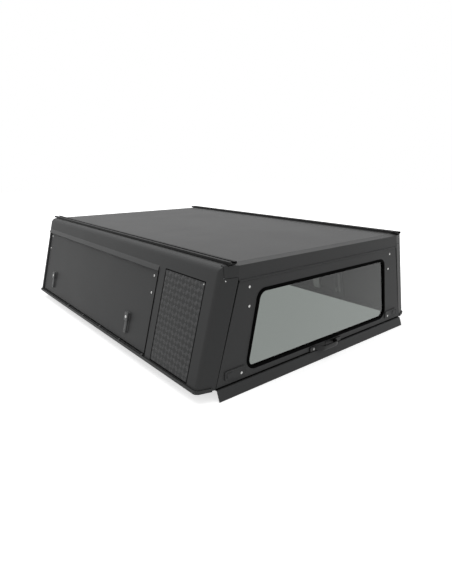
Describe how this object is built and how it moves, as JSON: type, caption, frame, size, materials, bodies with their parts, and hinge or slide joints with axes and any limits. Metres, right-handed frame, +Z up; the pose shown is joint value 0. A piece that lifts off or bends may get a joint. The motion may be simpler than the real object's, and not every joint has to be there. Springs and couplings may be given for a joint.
{
  "type": "pickup truck canopy",
  "caption": "Hard canopy for a pickup truck bed, with lift-up side doors and rear door on gas struts, tread plate inserts, roof rails and bonded windows.",
  "frame": {"origin": "underside of the bed-rail flange, at the centre of its four outer bolt holes", "axes": "+Z up, +Y towards the truck's cab, +X towards the truck's right side"},
  "size_m": [1.648, 2.128, 0.594],
  "materials": {
    "powder_coat": "charcoal powder coat, satin, fine texture",
    "tread_plate": "five-bar tread plate, charcoal powder coat",
    "rail_finish": "dark anodised extrusion, satin",
    "window_rubber": "black rubber, matt",
    "bulb_rubber": "black sponge rubber, matt",
    "glass": "clear safety glass with a light green tint",
    "black_plastic": "black moulded nylon, fine grain",
    "zinc_steel": "zinc-plated steel",
    "strut_black": "black lacquered tube, gloss",
    "strut_chrome": "hard chrome rod"
  },
  "bodies": {
    "canopy": {"roof_panel": "powder_coat", "rear_header": "powder_coat", "roof_bows": "powder_coat", "bed_rim": "powder_coat", "front_wall": "powder_coat", "front_window_seal": "window_rubber", "front_glass": "glass", "roof_rail_left": "rail_finish", "roof_rail_right": "rail_finish", "side_shell_left": "powder_coat", "side_shell_right": "powder_coat", "tread_panel_left": "tread_plate", "tread_panel_right": "tread_plate", "side_jamb_left": "powder_coat", "side_jamb_right": "powder_coat", "rear_jamb": "powder_coat", "drip_lips": "powder_coat", "door_rubbers": "bulb_rubber", "strut_anchors": "zinc_steel", "hinge_leaves": "powder_coat"},
    "rear_door": {"rear_door": "powder_coat", "rear_window_seal": "window_rubber", "rear_glass": "glass", "rear_flap": "powder_coat", "rear_handle": "black_plastic", "rear_latch_covers": "black_plastic", "rear_slam_locks": "zinc_steel", "rear_door_hinge": "powder_coat", "rear_strut_brackets": "zinc_steel"},
    "left_door": {"side_door_left": "powder_coat", "side_latches_left": "black_plastic", "side_slam_locks_left": "zinc_steel", "side_door_hinge_left": "powder_coat", "side_strut_brackets_left": "zinc_steel"},
    "left_barrels": {"side_strut_barrels_left": "strut_black"},
    "left_rods": {"side_strut_rods_left": "strut_chrome"},
    "rear_left_barrel": {"rear_strut_barrel_left": "strut_black"},
    "rear_left_rod": {"rear_strut_rod_left": "strut_chrome"},
    "right_door": {"side_door_right": "powder_coat", "side_latches_right": "black_plastic", "side_slam_locks_right": "zinc_steel", "side_door_hinge_right": "powder_coat", "side_strut_brackets_right": "zinc_steel"},
    "right_barrels": {"side_strut_barrels_right": "strut_black"},
    "right_rods": {"side_strut_rods_right": "strut_chrome"},
    "rear_right_barrel": {"rear_strut_barrel_right": "strut_black"},
    "rear_right_rod": {"rear_strut_rod_right": "strut_chrome"}
  },
  "joints": [
    {"name": "left_door_hinge", "type": "hinge", "parent": "canopy", "child": "left_door", "pos_m": [-0.70131, 0.2185, 0.427], "axis": [0, 1, 0], "range_deg": [0, 80]},
    {"name": "left_strut_swing", "type": "hinge", "parent": "canopy", "child": "left_barrels", "pos_m": [-0.74304, -0.532, 0.06595], "axis": [0, -1, 0], "range_deg": [0, 14.05]},
    {"name": "left_strut_extend", "type": "slide", "parent": "left_barrels", "child": "left_rods", "axis": [0.1784, 0, 0.984], "range_m": [0, 0.03993]},
    {"name": "right_door_hinge", "type": "hinge", "parent": "canopy", "child": "right_door", "pos_m": [0.70131, 0.2185, 0.427], "axis": [0, -1, 0], "range_deg": [0, 80]},
    {"name": "right_strut_swing", "type": "hinge", "parent": "canopy", "child": "right_barrels", "pos_m": [0.74304, -0.532, 0.06595], "axis": [0, 1, 0], "range_deg": [0, 14.05]},
    {"name": "right_strut_extend", "type": "slide", "parent": "right_barrels", "child": "right_rods", "axis": [-0.1784, 0, 0.984], "range_m": [0, 0.03993]},
    {"name": "rear_door_hinge", "type": "hinge", "parent": "canopy", "child": "rear_door", "pos_m": [0, -1.034, 0.462], "axis": [-1, 0, 0], "range_deg": [0, 80]},
    {"name": "rear_left_strut_swing", "type": "hinge", "parent": "canopy", "child": "rear_left_barrel", "pos_m": [-0.672, -0.974, 0.112], "axis": [0.9402, -0.0602, -0.3353], "range_deg": [0, 18.87]},
    {"name": "rear_left_strut_extend", "type": "slide", "parent": "rear_left_barrel", "child": "rear_left_rod", "axis": [0.3321, -0.0582, 0.9415], "range_m": [0, 0.04285]},
    {"name": "rear_right_strut_swing", "type": "hinge", "parent": "canopy", "child": "rear_right_barrel", "pos_m": [0.672, -0.974, 0.112], "axis": [0.9402, 0.0602, 0.3353], "range_deg": [0, 18.87]},
    {"name": "rear_right_strut_extend", "type": "slide", "parent": "rear_right_barrel", "child": "rear_right_rod", "axis": [-0.3321, -0.0582, 0.9415], "range_m": [0, 0.04285]}
  ],
  "couplings": [
    {"joint": "left_strut_swing", "follows": "left_door_hinge", "ratio": 0.17561},
    {"joint": "left_strut_extend", "follows": "left_door_hinge", "m_per_rad": 0.028594},
    {"joint": "right_strut_swing", "follows": "right_door_hinge", "ratio": 0.17561},
    {"joint": "right_strut_extend", "follows": "right_door_hinge", "m_per_rad": 0.028594},
    {"joint": "rear_left_strut_swing", "follows": "rear_door_hinge", "ratio": 0.23587},
    {"joint": "rear_left_strut_extend", "follows": "rear_door_hinge", "m_per_rad": 0.030688},
    {"joint": "rear_right_strut_swing", "follows": "rear_door_hinge", "ratio": 0.23587},
    {"joint": "rear_right_strut_extend", "follows": "rear_door_hinge", "m_per_rad": 0.030688}
  ]
}
